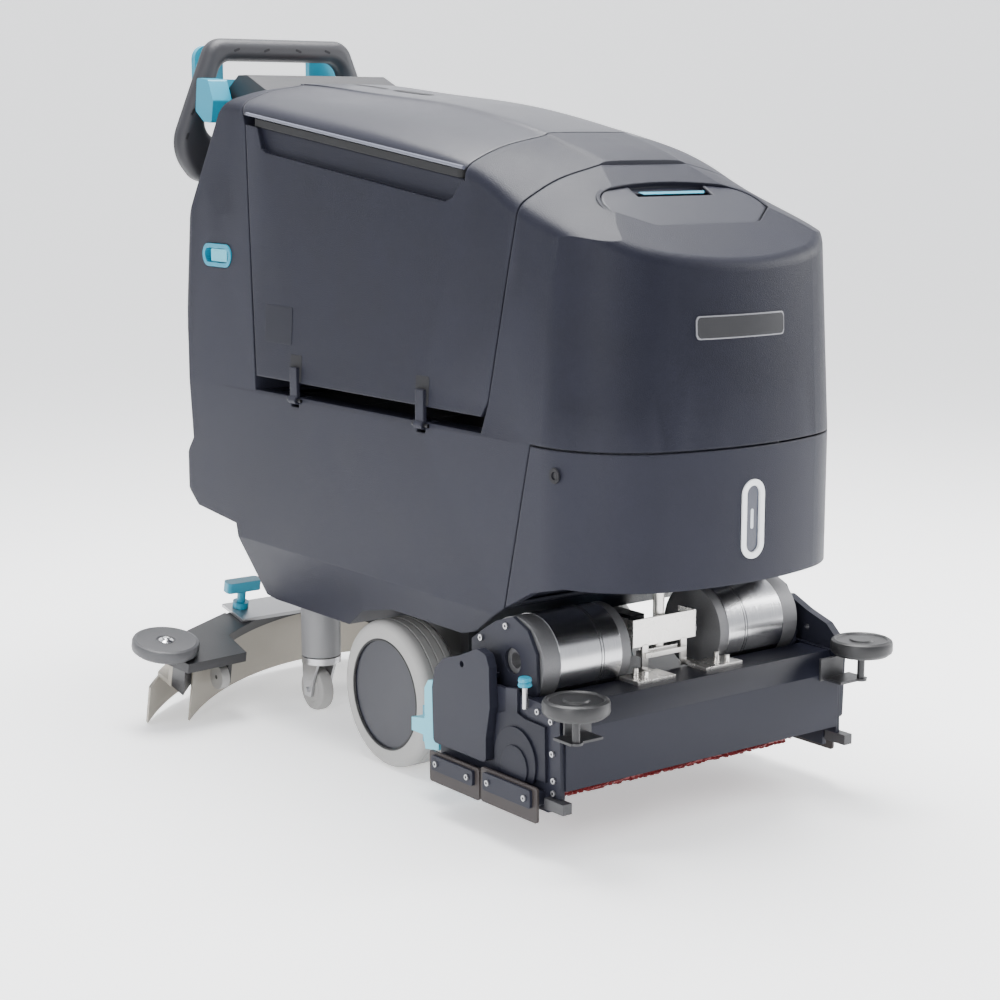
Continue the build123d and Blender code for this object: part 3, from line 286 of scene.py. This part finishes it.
def tube(name, points, radius, body, made, cyclic=False):
    """Round bead along a smooth path."""
    curve = bpy.data.curves.new(name, "CURVE")
    curve.dimensions = "3D"
    line = curve.splines.new("NURBS")
    line.points.add(len(points) - 1)
    for spot, point in zip(line.points, points):
        spot.co = (*point, 1)
    line.use_endpoint_u = not cyclic
    line.use_cyclic_u = cyclic
    line.order_u = 3
    curve.bevel_depth = radius
    curve.bevel_resolution = 4
    curve.resolution_u = 10
    curve.use_fill_caps = True
    curve.materials.append(made)
    bead = bpy.data.objects.new(name, curve)
    bpy.context.collection.objects.link(bead)
    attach(bead, body)
    return bead


# painted highlight: the bead is coloured far paler than the lid to stand for the light caught along the
# lid's rolled edge
bead_painted_highlight = material("bead_painted_highlight", (0.11, 0.115, 0.15), 0.22, edge=0.0005, mottle=0.05)
for side, hand in ((-1, "right"), (1, "left")):
    path = []
    for share in (0.0, 0.03, 0.25, 0.5, 0.75, 0.97, 1.0):
        x = -0.417 + share * 0.648
        z = 1.0795 - share * 0.0825
        path.append((x, side * (wall_y(z) - 0.0008), z))
    tube(f"lid_bead_{hand}", path, 0.0030, "lid", bead_painted_highlight)
# two shallow slots in the lid's crown, a slim one behind a broader one, drawn as flat black sheets of
# painted shade
for number, (x0, x1, slot_half) in enumerate(((-0.440, -0.325, 0.005), (-0.300, -0.190, 0.011))):
    shape = bmesh.new()
    columns, rows = 44, 6
    grid = []
    for i in range(columns + 1):
        px = x0 + (x1 - x0) * i / columns
        past = max(0.0, abs(px - (x0 + x1) / 2) - ((x1 - x0) / 2 - slot_half))
        reach = max(0.0004, sqrt(max(0.0, slot_half ** 2 - past ** 2)))
        grid.append([shape.verts.new((px, reach * (2 * j / rows - 1), 1.16)) for j in range(rows + 1)])
    for i in range(columns):
        for j in range(rows):
            shape.faces.new((grid[i][j], grid[i + 1][j], grid[i + 1][j + 1], grid[i][j + 1]))
    mesh = bpy.data.meshes.new(f"lid_slot_{number}")
    shape.to_mesh(mesh)
    shape.free()
    mesh.materials.append(recess_painted_shade)
    recess = new_object(f"lid_slot_{number}", mesh)
    wrap = recess.modifiers.new("lie_on_lid", "SHRINKWRAP")
    wrap.target = node["top_lid"]
    wrap.wrap_method = "PROJECT"
    wrap.use_project_z = True
    wrap.use_negative_direction = True
    wrap.use_positive_direction = True
    wrap.offset = 0.0009
    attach(recess, "lid")

# ---- Fill lid: turquoise finger strip at its notch ----
turquoise = material("turquoise_moulding", (0.004, 0.22, 0.33), 0.35, grain=0.06, mottle=0.06,
                     edge=0.0012, coat=0.15)
pale_turquoise = material("pale_turquoise", (0.09, 0.44, 0.56), 0.32, grain=0.05, mottle=0.05,
                          edge=0.0012, coat=0.2)
slope = radians(29.54)
strip_mesh = bpy.data.meshes.new("fill_strip")
along, lift = 0.076, -0.0035


def on_hood(u, y, n):
    """Point on the hood's slope: distance down it, across it and above it."""
    return (0.368 + u * cos(slope) + n * sin(slope), y, 1.002 - u * sin(slope) + n * cos(slope))


shape = bmesh.new()
ring = []
for u, y in ((along, -0.066), (along, 0.066), (along + 0.007, 0.060), (along + 0.007, -0.060)):
    ring.append(shape.verts.new(on_hood(u, y, lift)))
top = shape.faces.new(ring)
out = bmesh.ops.extrude_face_region(shape, geom=[top])
bmesh.ops.translate(shape, vec=Vector(on_hood(0, 0, 0.0008)) - Vector(on_hood(0, 0, 0)),
                    verts=[v for v in out["geom"] if isinstance(v, bmesh.types.BMVert)])
bmesh.ops.recalc_face_normals(shape, faces=shape.faces)
shape.to_mesh(strip_mesh)
shape.free()
strip_mesh.materials.append(turquoise)
strip = new_object("fill_strip", strip_mesh)
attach(strip, "fill_lid")

# ---- Front light: white ring with a dark window and a slim lamp inside ----
paint(material("light_ring", (0.82, 0.84, 0.86), 0.22, mottle=0.02, edge=0.003, coat=0.3), "front_light")


def stadium(name, x, z, wide, tall, thick, made):
    """Upright rounded window, a thin slab facing forward."""
    shape = bmesh.new()
    ring = []
    r = wide / 2
    for cz, start in ((tall / 2 - r, 0), (-tall / 2 + r, 180)):
        for step in range(17):
            turn = radians(start + 180 * step / 16)
            ring.append(shape.verts.new((x, r * cos(turn), z + cz + r * sin(turn))))
    top = shape.faces.new(ring)
    out = bmesh.ops.extrude_face_region(shape, geom=[top])
    bmesh.ops.translate(shape, vec=(-thick, 0, 0), verts=[v for v in out["geom"] if isinstance(v,
                                                            bmesh.types.BMVert)])
    bmesh.ops.recalc_face_normals(shape, faces=shape.faces)
    mesh = bpy.data.meshes.new(name)
    shape.to_mesh(mesh)
    shape.free()
    mesh.materials.append(made)
    window = new_object(name, mesh)
    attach(window, "root")


stadium("light_window", 0.6196, 0.490, 0.031, 0.105, 0.0006, material("light_window", (0.030, 0.034,
                                                            0.055), 0.12, coat=0.5, edge=0.0005))
stadium("light_lamp", 0.6201, 0.490, 0.006, 0.030, 0.0004, material("light_lamp", (0.55, 0.58, 0.62), 0.2,
                                                            metal=0.3, edge=0.0005))
paint(material("screw_black", (0.02, 0.02, 0.022), 0.35, metal=0.6, edge=0.0008), "cover_screws",
      "tank_hinge_pins")


def lathe(name, profile, centre, axis, made, body, turns=96, cut=None):
    """Solid of revolution: profile gives (distance along axis, radius)."""
    shape = bmesh.new()
    pole = Vector(axis).normalized()
    side = pole.orthogonal().normalized()
    other = pole.cross(side)
    rings = []
    for a, r in profile:
        if r < 1e-6:
            rings.append([shape.verts.new(Vector(centre) + pole * a)])
            continue
        loop = []
        for k in range(turns):
            turn = 2 * pi * k / turns
            grow = cut(a, r, turn) if cut else r
            spoke = side * cos(turn) + other * sin(turn)
            loop.append(shape.verts.new(Vector(centre) + pole * a + spoke * grow))
        rings.append(loop)
    capped = len(rings[0]) == 1 or len(rings[-1]) == 1
    for first, second in zip(rings, rings[1:] if capped else rings[1:] + rings[:1]):
        for k in range(turns):
            n = (k + 1) % turns
            if len(first) == 1:
                shape.faces.new((first[0], second[k], second[n]))
            elif len(second) == 1:
                shape.faces.new((first[k], first[n], second[0]))
            else:
                shape.faces.new((first[k], first[n], second[n], second[k]))
    bmesh.ops.recalc_face_normals(shape, faces=shape.faces)
    mesh = bpy.data.meshes.new(name)
    shape.to_mesh(mesh)
    shape.free()
    for polygon in mesh.polygons:
        polygon.use_smooth = True
    mesh.materials.append(made)
    spun = new_object(name, mesh)
    sharp = spun.modifiers.new("edges", "EDGE_SPLIT")
    sharp.split_angle = radians(38)
    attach(spun, body)
    return spun


# dimples in the body's sides, drawn as flat black rings of painted shade
for side, hand in ((-1, "right"), (1, "left")):
    lathe(f"screw_dimple_{hand}", [(-0.001, 0.0055), (0.0003, 0.0060), (0.0003, 0.0110), (-0.001, 0.0118)],
          (0.479, side * body_half, 0.561), (0, side, 0), recess_painted_shade, "root", 48)

# ---- Latches: turquoise frames with a paler flap ----
paint(turquoise, "latch_bezels")
paint(pale_turquoise, "latch_button_right", "latch_button_left")

# ---- Handle and console: near-black soft-touch loop, dark console, turquoise paddles ----
grip = material("soft_grip", (0.016, 0.016, 0.020), 0.52, grain=0.12, grain_scale=1600, mottle=0.15,
                edge=0.003)
paint(grip, "handle_grip")
paint(material("console_black", (0.014, 0.014, 0.017), 0.5, grain=0.2, mottle=0.12, edge=0.003),
      "console_housing")
paint(turquoise, "drive_paddles", "squeegee_lever")
paint(material("display_glass", (0.01, 0.014, 0.02), 0.08, coat=0.8, mottle=0.02, edge=0.001),
      "console_display")
paint(material("stop_red", (0.45, 0.008, 0.008), 0.28, mottle=0.05, coat=0.3), "stop_button")
# slots in the handle grip, drawn as flat black plates of painted shade
for number, (y, z, lean) in enumerate(((-0.100, 1.199, 20), (-0.035, 1.199, 20), (0.035, 1.199, -20),
                                       (0.100, 1.199, -20),
                                       (-0.196, 1.085, 60), (-0.209, 1.040, 70), (0.196, 1.085, -60),
                                       (0.209, 1.040, -70))):
    shape = bmesh.new()
    ring = []
    for end, start in ((0.0045, -90), (-0.0045, 90)):
        for step in range(7):
            turn = radians(start + 30 * step)
            a, b = end + 0.0022 * cos(turn), 0.0022 * sin(turn)
            swing = radians(lean)
            ring.append(shape.verts.new((-0.6787, y + a * cos(swing) - b * sin(swing),
                                         z + a * sin(swing) + b * cos(swing))))
    face = shape.faces.new(ring)
    out = bmesh.ops.extrude_face_region(shape, geom=[face])
    bmesh.ops.translate(shape, vec=(-0.003, 0, 0), verts=[v for v in out["geom"] if isinstance(v,
                                                            bmesh.types.BMVert)])
    bmesh.ops.recalc_face_normals(shape, faces=shape.faces)
    mesh = bpy.data.meshes.new(f"grip_slot_{number}")
    shape.to_mesh(mesh)
    shape.free()
    mesh.materials.append(recess_painted_shade)
    hole = new_object(f"grip_slot_{number}", mesh)
    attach(hole, "root")

# ---- Chassis, batteries, pump and vacuum: dark painted steel and plain mouldings ----
black_paint = material("black_paint", (0.012, 0.012, 0.014), 0.4, grain=0.08, mottle=0.2, edge=0.001,
                       edge_paling=0.3)
paint(black_paint, "chassis_frame", "bumper_brackets")
paint(material("grey_casting", (0.16, 0.16, 0.165), 0.5, metal=0.6, grain=0.35, grain_scale=500,
               mottle=0.12), "transaxle", "motor_end_rings")
paint(material("battery_case", (0.022, 0.022, 0.025), 0.5, grain=0.15, mottle=0.1), "battery_pack",
      "solution_pump", "vacuum_motor", "hose_ports")
paint(material("housing_grey", (0.20, 0.20, 0.205), 0.42, grain=0.12, mottle=0.10, edge=0.002),
      "caster_housings", "lift_actuator")

# ---- Drive wheels: warm-grey tyres with rounded shoulders, navy hubs with a black ring ----
tyre_grey = material("tyre_grey", (0.31, 0.305, 0.295), 0.62, grain=0.2, grain_scale=700, mottle=0.07,
                     edge=0.001)
hub_paint = material("hub_navy", (0.0110, 0.0118, 0.0200), 0.4, grain=0.12, mottle=0.1, edge=0.001)
ring_black = material("ring_black", (0.008, 0.008, 0.009), 0.55, mottle=0.1, edge=0.0006)
paint(hub_paint, "drive_hub_right", "drive_hub_left")
for side, hand in ((-1, "right"), (1, "left")):
    low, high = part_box(f"drive_tyre_{hand}")
    width = high[1] - low[1]
    mid = (high[1] + low[1]) / 2
    half = width / 2
    inner = 0.0935
    profile = [(-half, inner)]
    for step in range(9):
        turn = radians(180 - 90 * step / 8)
        profile.append((-half + 0.014 + 0.014 * cos(turn), 0.111 + 0.014 * sin(turn)))
    for a in (-0.016, 0.0, 0.016):
        profile += [(a - 0.0014, 0.125), (a - 0.0010, 0.1236), (a + 0.0010, 0.1236), (a + 0.0014, 0.125)]
    for step in range(9):
        turn = radians(90 - 90 * step / 8)
        profile.append((half - 0.014 + 0.014 * cos(turn), 0.111 + 0.014 * sin(turn)))
    profile.append((half, inner))
    tyre = lathe(f"tyre_{hand}", profile, (0, mid, 0.125), (0, 1, 0), tyre_grey, f"wheel_{hand}",
                 128)
    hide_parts(f"drive_tyre_{hand}")
    face_y = side * 0.238
    lathe(f"hub_ring_{hand}", [(-0.001, 0.0905), (0.0006, 0.0910), (0.0012, 0.0925), (0.0006, 0.0945),
                               (-0.001, 0.0950)],
          (0, face_y, 0.125), (0, side, 0), ring_black, f"wheel_{hand}", 96)

# ---- Casters: zinc forks, pale wheels ----
zinc = material("zinc_plate", (0.50, 0.50, 0.51), 0.33, metal=0.9, grain=0.08, mottle=0.10,
                mottle_scale=30, edge=0.001)
paint(zinc, "caster_fork_right", "caster_fork_left")
for side, hand in ((-1, "right"), (1, "left")):
    low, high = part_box(f"caster_wheel_{hand}")
    mid = [(a + b) / 2 for a, b in zip(low, high)]
    half, r = (high[1] - low[1]) / 2, (high[2] - low[2]) / 2
    profile = [(-half, 0.008), (-half, r * 0.55), (-half + 0.002, r * 0.60), (-half + 0.001, r - 0.008),
               (-half + 0.004, r - 0.002),
               (-half + 0.009, r), (half - 0.009, r), (half - 0.004, r - 0.002), (half - 0.001, r - 0.008),
               (half - 0.002, r * 0.60), (half, r * 0.55), (half, 0.008)]
    roll = lathe(f"caster_{hand}", profile, mid, (0, 1, 0), tyre_grey, f"caster_{hand}", 64)
    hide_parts(f"caster_wheel_{hand}")

# ---- Brush deck: folded steel in satin navy powder coat, rubber skirts under navy clamps ----
powder = material("powder_coat", (0.0075, 0.0082, 0.0150), 0.36, grain=0.18, grain_scale=1700,
                  mottle=0.10, edge=0.0012, edge_paling=0.25, gleam=0.15)
paint(powder, "deck_frame", "deck_end_plates", "belt_covers", "skirt_retainers")
paint(material("skirt_rubber", (0.022, 0.016, 0.015), 0.6, grain=0.15, mottle=0.15, edge=0.001),
      "skirt_rubbers")

# zinc screws; their hexagon sockets are flat black discs of painted shade
zinc_screw = material("zinc_screw", (0.42, 0.42, 0.43), 0.3, metal=0.9, grain=0.05, mottle=0.1, edge=0.0006)
paint(zinc_screw, "deck_screws")
clamp_z = {0.256: 0.083, 0.338: 0.083, 0.390: 0.087, 0.480: 0.087}
plate_screws = {-1: ((0.480, 0.214), (0.512, 0.206), (0.515, 0.158), (0.518, 0.118), (0.518, 0.099)),
                1: ((0.270, 0.208), (0.358, 0.208))}
for side, hand in ((-1, "right"), (1, "left")):
    heads = [(x, z, 0.3175) for x, z in clamp_z.items()]
    heads += [(x, z, 0.2920) for x, z in plate_screws[side]]
    heads += [(x, z, 0.2715) for x, z in ((0.313, 0.290), (0.376, 0.320))]
    for number, (x, z, out_y) in enumerate(heads):
        lathe(f"socket_{hand}_{number}", [(-0.0010, 0.0), (-0.0010, 0.0022), (0.0003, 0.0022), (0.0003,
                                                            0.0)],
              (x, side * out_y, z), (0, side, 0), recess_painted_shade, "deck", 6)

# ---- Brush motors: steel cans turned all round, held by grey castings ----
brushed = material("turned_steel", (0.56, 0.56, 0.57), 0.24, metal=1.0, grain=0.12, grain_scale=1.0,
                   mottle=0.10,
                   mottle_scale=1.2, stretch=(3, 420, 3), edge=0.0015)
paint(brushed, "motor_cans")
# grooves round the motor cans, drawn as thin dark rings of painted shade
groove = material("groove_painted_shade", (0.05, 0.05, 0.052), 0.4, metal=0.8, edge=0.0003)
for side, hand in ((-1, "right"), (1, "left")):
    for number, along in enumerate((0.146, 0.151)):
        lathe(f"motor_groove_{hand}_{number}", [(-0.0005, 0.0670), (-0.0005, 0.0683), (0.0005, 0.0683),
                                                (0.0005, 0.0670)],
              (0.392, side * along, 0.2687), (0, 1, 0), groove, "deck", 128)
nickel = material("satin_nickel", (0.72, 0.70, 0.67), 0.28, metal=0.95, grain=0.05, mottle=0.08,
                  mottle_scale=40, edge=0.0008)
paint(nickel, "lift_bracket")

# ---- Front bumpers: black bevelled rollers on folded brackets ----
roller_black = material("roller_black", (0.012, 0.012, 0.013), 0.42, grain=0.12, mottle=0.12, edge=0.001)
for side, hand in ((-1, "right"), (1, "left")):
    low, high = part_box(f"bumper_roller_{hand}")
    mid = [(a + b) / 2 for a, b in zip(low, high)]
    half, r = (high[2] - low[2]) / 2, (high[0] - low[0]) / 2
    profile = [(-half, 0.0), (-half, r - 0.007), (-half + 0.005, r - 0.001), (-half + 0.008, r),
               (half - 0.007, r),
               (half - 0.003, r - 0.0015), (half - 0.0005, r - 0.006), (half - 0.001, r - 0.008),
               (half - 0.0035, r - 0.010),
               (half - 0.0035, 0.020), (half - 0.001, 0.018), (half - 0.001, 0.0)]
    disc = lathe(f"bumper_{hand}", profile, mid, (0, 0, 1), roller_black, f"bumper_{hand}",
                 96)
    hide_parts(f"bumper_roller_{hand}")

# ---- Brush-plate knobs: two-tier turquoise grips on zinc rods ----
for side, hand in ((-1, "right"), (1, "left")):
    low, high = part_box(f"plate_knob_{hand}")
    mid_x, mid_y = (low[0] + high[0]) / 2, (low[1] + high[1]) / 2
    top = high[2]

    def lobes(a, r, turn):
        """Two broad wings on the grip's upper tier."""
        return r * (0.62 + 0.38 * abs(cos(turn))) if r > 0.009 else r

    profile = [(0.0, 0.0), (0.0, 0.0085), (-0.0015, 0.0098), (-0.0055, 0.0105), (-0.0070, 0.0098),
               (-0.0076, 0.0088),
               (-0.0082, 0.0098), (-0.0125, 0.0108), (-0.0140, 0.0098), (-0.0140, 0.0)]
    knob = lathe(f"knob_{hand}", profile, (mid_x, mid_y, top), (0, 0, 1), turquoise, f"knob_{hand}",
                 72)
    lathe(f"knob_rod_{hand}", [(0.0, 0.0), (0.0, 0.0036), (0.0008, 0.0040), (top - 0.016 - low[2],
                                                            0.0040), (top - 0.014 - low[2], 0.0)],
                (mid_x, mid_y, low[2]), (0, 0, 1), zinc, f"knob_{hand}", 32)
    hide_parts(f"plate_knob_{hand}")

# ---- Brushes: dark red bristles set in spiral rows round a core ----
bristle = material("bristle_red", (0.16, 0.008, 0.010), 0.55, grain=0.3, grain_scale=300, mottle=0.45,
                   mottle_scale=60, edge=0.0003)
core_red = material("core_red", (0.05, 0.005, 0.006), 0.6, mottle=0.2)
random.seed(7)
for which in ("front_brush", "rear_brush"):
    low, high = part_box(which)
    x, mid_z = (low[0] + high[0]) / 2, (low[2] + high[2]) / 2
    brush_r = (high[0] - low[0]) / 2
    shape = bmesh.new()
    rows, steps = 18, 74
    for row in range(rows):
        for k in range(steps):
            y = -0.238 + 0.476 * (k + 0.5 * (row % 2)) / steps
            turn = 2 * pi * row / rows + 2.2 * (y + 0.24) + random.uniform(-0.03, 0.03)
            spread = random.uniform(0.0052, 0.0072)
            tip = brush_r - 0.0004 - random.uniform(0, 0.0022)
            radial = Vector((cos(turn), 0, sin(turn)))
            tangent = Vector((-sin(turn), 0, cos(turn)))
            lean = random.uniform(-0.004, 0.004)
            base, crownv = [], []
            for q in range(5):
                spin = 2 * pi * q / 5
                flat = tangent * cos(spin) + Vector((0, 1, 0)) * sin(spin)
                base.append(shape.verts.new(Vector((x, y, mid_z)) + radial * 0.026 + flat * 0.0024))
                reach = radial * (tip - 0.002 * (q % 2))
                crownv.append(shape.verts.new(Vector((x, y + lean, mid_z)) + reach + flat * spread * 0.75))
            for q in range(5):
                n = (q + 1) % 5
                shape.faces.new((base[q], base[n], crownv[n], crownv[q]))
            shape.faces.new(crownv)
    bmesh.ops.recalc_face_normals(shape, faces=shape.faces)
    mesh = bpy.data.meshes.new(f"{which}_bristles")
    shape.to_mesh(mesh)
    shape.free()
    mesh.materials.append(bristle)
    tufts = new_object(f"{which}_bristles", mesh)
    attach(tufts, which)
    lathe(f"{which}_core", [(-0.286, 0.0), (-0.286, 0.0095), (-0.245, 0.0095), (-0.244, 0.030),
                                   (-0.240, 0.032), (0.240, 0.032),
                 (0.244, 0.030), (0.245, 0.0095), (0.286, 0.0095), (0.286, 0.0)], (x, 0, mid_z), (0, 1,
                                                            0), core_red, which, 48)
    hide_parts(which)

# ---- Debris tray behind the brushes ----
paint(turquoise, "debris_tray")
paint(pale_turquoise, "tray_handle")

# ---- Squeegee: black beam and holder, pale blades, silver carrier, grey rollers with chrome caps ----
paint(black_paint, "squeegee_head")
paint(material("blade_tan", (0.33, 0.305, 0.26), 0.55, grain=0.08, mottle=0.06, edge=0.0006),
      "squeegee_blades")
paint(material("carrier_silver", (0.42, 0.42, 0.43), 0.34, metal=0.85, grain=0.06, mottle=0.1,
               edge=0.001), "squeegee_carrier")
paint(turquoise, "squeegee_knob_right", "squeegee_knob_left")
paint(tyre_grey, "squeegee_wheels")
tilt = radians(12)
pole = (sin(tilt), 0, cos(tilt))
roller_grey = material("roller_grey", (0.060, 0.060, 0.064), 0.45, grain=0.12, mottle=0.12, edge=0.001)
chrome = material("chrome_cap", (0.75, 0.75, 0.76), 0.1, metal=1.0, mottle=0.02, edge=0.0006)
for side, hand in ((-1, "right"), (1, "left")):
    middle = (-0.4342 + 0.0008 * sin(tilt), side * 0.414, 0.1482 + 0.0008 * cos(tilt))
    half, r = 0.012, 0.060
    profile = [(-half, 0.0085), (-half, r - 0.006), (-half + 0.004, r - 0.001), (-half + 0.007, r),
               (half - 0.006, r), (half - 0.002, r - 0.002),
               (half - 0.0002, r - 0.007), (half - 0.0012, r - 0.010), (half - 0.0012, 0.018),
               (half - 0.003, 0.016), (half - 0.003, 0.0085)]
    disc = lathe(f"sq_roller_{hand}", profile, middle, pole, roller_grey, f"sq_roller_{hand}",
                 96)
    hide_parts(f"squeegee_roller_{hand}")
    cap = [(-0.004, 0.0), (-0.004, 0.013), (-0.001, 0.013), (-0.0003, 0.0115), (0.0002, 0.007), (0.0006,
                                                            0.0065), (0.0030, 0.006), (0.0036, 0.005),
                                                            (0.0036, 0.0)]
    lift = Vector(middle) + Vector(pole) * (half - 0.0005)
    lathe(f"sq_cap_{hand}", cap, lift, pole, chrome, "squeegee", 48)
